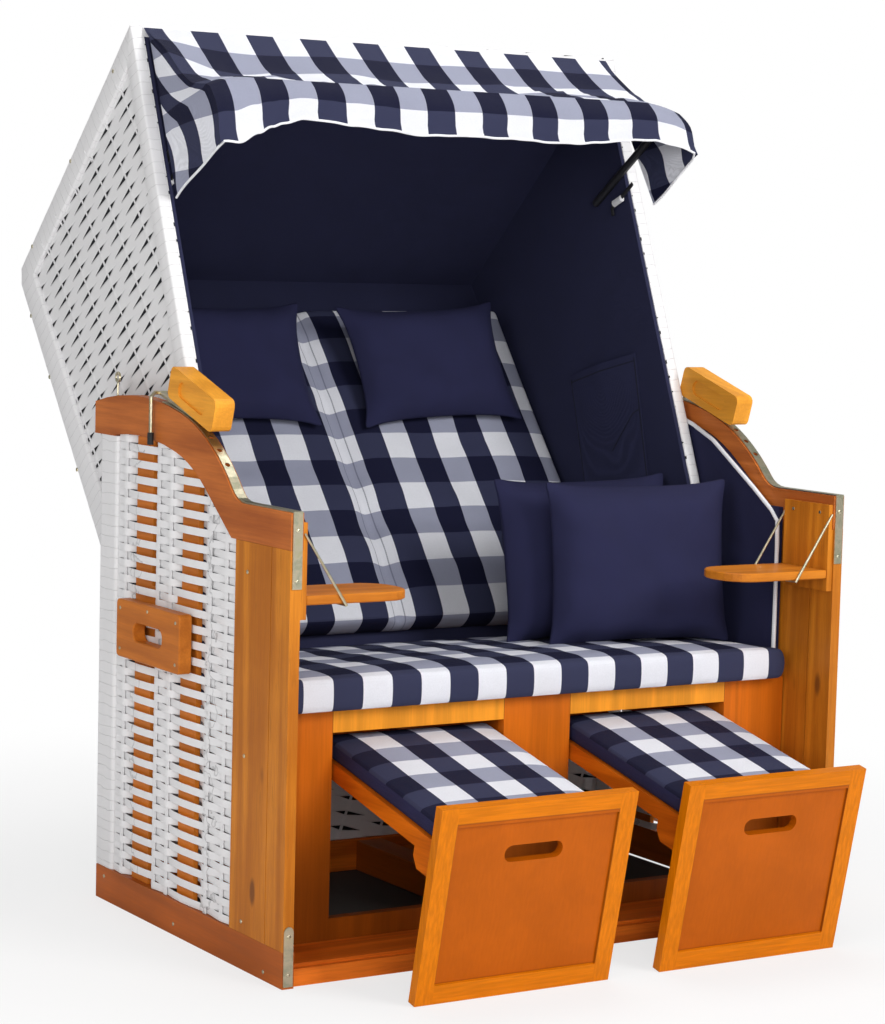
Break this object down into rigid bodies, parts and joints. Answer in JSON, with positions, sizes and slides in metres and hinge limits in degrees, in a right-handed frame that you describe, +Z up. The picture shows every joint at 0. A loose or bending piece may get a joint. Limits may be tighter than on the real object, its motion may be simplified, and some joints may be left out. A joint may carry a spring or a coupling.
{
  "type": "hooded beach chair",
  "caption": "Hooded beach chair for two: a wooden basket with woven sides, a woven hood that tilts and locks, an awning, pull-out footrests, fold-up tables and checked cushions.",
  "frame": {"origin": "middle of the base on the floor", "axes": "+X across the seat to the viewer's right, +Y to the back, +Z up"},
  "size_m": [1.2276, 1.5084, 1.6499],
  "materials": {
    "varnished_wood": "orange varnish with knots",
    "pale_wood": "paler orange varnish",
    "white_weave": "flat woven plastic band",
    "navy_fabric": "woven cover",
    "gingham_fabric": "woven checks in navy, grey-blue and white",
    "zinc_steel": "yellow zinc plating",
    "black_rubber": "matt"
  },
  "bodies": {
    "basket": {"base_front_rail": "varnished_wood", "base_back_rail": "varnished_wood", "base_middle_rail": "varnished_wood", "side_rail_left": "varnished_wood", "side_rail_right": "varnished_wood", "side_board_left": "varnished_wood", "side_board_right": "varnished_wood", "arm_rail_left": "varnished_wood", "arm_rail_right": "varnished_wood", "arm_strip_left": "zinc_steel", "arm_strip_right": "zinc_steel", "corner_bracket_left": "zinc_steel", "corner_bracket_right": "zinc_steel", "side_weave_left": "white_weave", "side_weave_right": "white_weave", "rear_post_left": "white_weave", "rear_post_right": "white_weave", "back_weave": "white_weave", "side_lining_left": "navy_fabric", "side_lining_right": "navy_fabric", "carry_handle_left": "varnished_wood", "carry_handle_right": "varnished_wood", "seat_box_front": "varnished_wood", "seat_board": "pale_wood", "footrest_guides": "pale_wood", "seat_cushion": "gingham_fabric", "scatter_pillow_front": "navy_fabric", "scatter_pillow_rear": "navy_fabric", "table_plate_left": "pale_wood", "table_plate_right": "pale_wood"},
    "hood": {"hood_side_left": "white_weave", "hood_side_right": "white_weave", "hood_roof": "white_weave", "hood_back": "white_weave", "hood_lining": "navy_fabric", "hood_pivot_left": "zinc_steel", "hood_pivot_right": "zinc_steel", "back_cushion": "gingham_fabric", "neck_pillow_left": "navy_fabric", "neck_pillow_right": "navy_fabric"},
    "awning": {"awning_bow": "zinc_steel", "awning_cloth": "gingham_fabric"},
    "lock_left": {"lock_handle_left": "pale_wood", "lock_rod_left": "zinc_steel", "lock_cap_left": "black_rubber"},
    "table_left": {"table_board_left": "pale_wood"},
    "table_stay_left": {"table_stay_left": "zinc_steel"},
    "footrest_glide_left": {"footrest_axle_left": "pale_wood"},
    "footrest_left": {"footrest_panel_left": "varnished_wood", "footrest_frame_left": "varnished_wood", "footrest_cushion_left": "gingham_fabric"},
    "lock_right": {"lock_handle_right": "pale_wood", "lock_rod_right": "zinc_steel", "lock_cap_right": "black_rubber"},
    "table_right": {"table_board_right": "pale_wood"},
    "table_stay_right": {"table_stay_right": "zinc_steel"},
    "footrest_glide_right": {"footrest_axle_right": "pale_wood"},
    "footrest_right": {"footrest_panel_right": "varnished_wood", "footrest_frame_right": "varnished_wood", "footrest_cushion_right": "gingham_fabric"}
  },
  "joints": [
    {"name": "hood_tilt", "type": "hinge", "parent": "basket", "child": "hood", "pos_m": [0, 0.135, 0.56], "axis": [1, 0, 0], "range_deg": [0, 22.2]},
    {"name": "awning_fold", "type": "hinge", "parent": "hood", "child": "awning", "pos_m": [0, 0.35502, 1.35004], "axis": [-1, 0, 0], "range_deg": [0, 45], "deforming": ["awning_cloth"]},
    {"name": "lock_left_lift", "type": "hinge", "parent": "hood", "child": "lock_left", "pos_m": [-0.578, 0.147, 0.97503], "axis": [-1, 0, 0], "range_deg": [0, 35]},
    {"name": "lock_right_lift", "type": "hinge", "parent": "hood", "child": "lock_right", "pos_m": [0.578, 0.147, 0.97503], "axis": [-1, 0, 0], "range_deg": [0, 35]},
    {"name": "table_left_fold", "type": "hinge", "parent": "basket", "child": "table_left", "pos_m": [-0.5569, -0.306, 0.665], "axis": [0, -1, 0], "range_deg": [0, 85]},
    {"name": "table_stay_left_swing", "type": "hinge", "parent": "basket", "child": "table_stay_left", "pos_m": [-0.56345, -0.306, 0.77], "axis": [0, -1, 0], "range_deg": [0, 76.5]},
    {"name": "table_right_fold", "type": "hinge", "parent": "basket", "child": "table_right", "pos_m": [0.5569, -0.306, 0.665], "axis": [0, 1, 0], "range_deg": [0, 85]},
    {"name": "table_stay_right_swing", "type": "hinge", "parent": "basket", "child": "table_stay_right", "pos_m": [0.56345, -0.306, 0.77], "axis": [0, 1, 0], "range_deg": [0, 76.5]},
    {"name": "footrest_left_slide", "type": "slide", "parent": "basket", "child": "footrest_glide_left", "axis": [0, 0.9994, -0.0349], "range_m": [0, 0.36622]},
    {"name": "footrest_left_tilt", "type": "hinge", "parent": "footrest_glide_left", "child": "footrest_left", "pos_m": [-0.2495, -0.209, 0.34062], "axis": [1, 0, 0], "range_deg": [-12.05, 0]},
    {"name": "footrest_right_slide", "type": "slide", "parent": "basket", "child": "footrest_glide_right", "axis": [0, 0.9994, -0.0349], "range_m": [0, 0.36622]},
    {"name": "footrest_right_tilt", "type": "hinge", "parent": "footrest_glide_right", "child": "footrest_right", "pos_m": [0.2495, -0.209, 0.34062], "axis": [1, 0, 0], "range_deg": [-12.05, 0]}
  ],
  "couplings": [
    {"joint": "table_stay_left_swing", "follows": "table_left_fold", "ratio": 0.9},
    {"joint": "table_stay_right_swing", "follows": "table_right_fold", "ratio": 0.9},
    {"joint": "footrest_left_tilt", "follows": "footrest_left_slide", "rad_per_m": -0.57428},
    {"joint": "footrest_right_tilt", "follows": "footrest_right_slide", "rad_per_m": -0.57428}
  ]
}
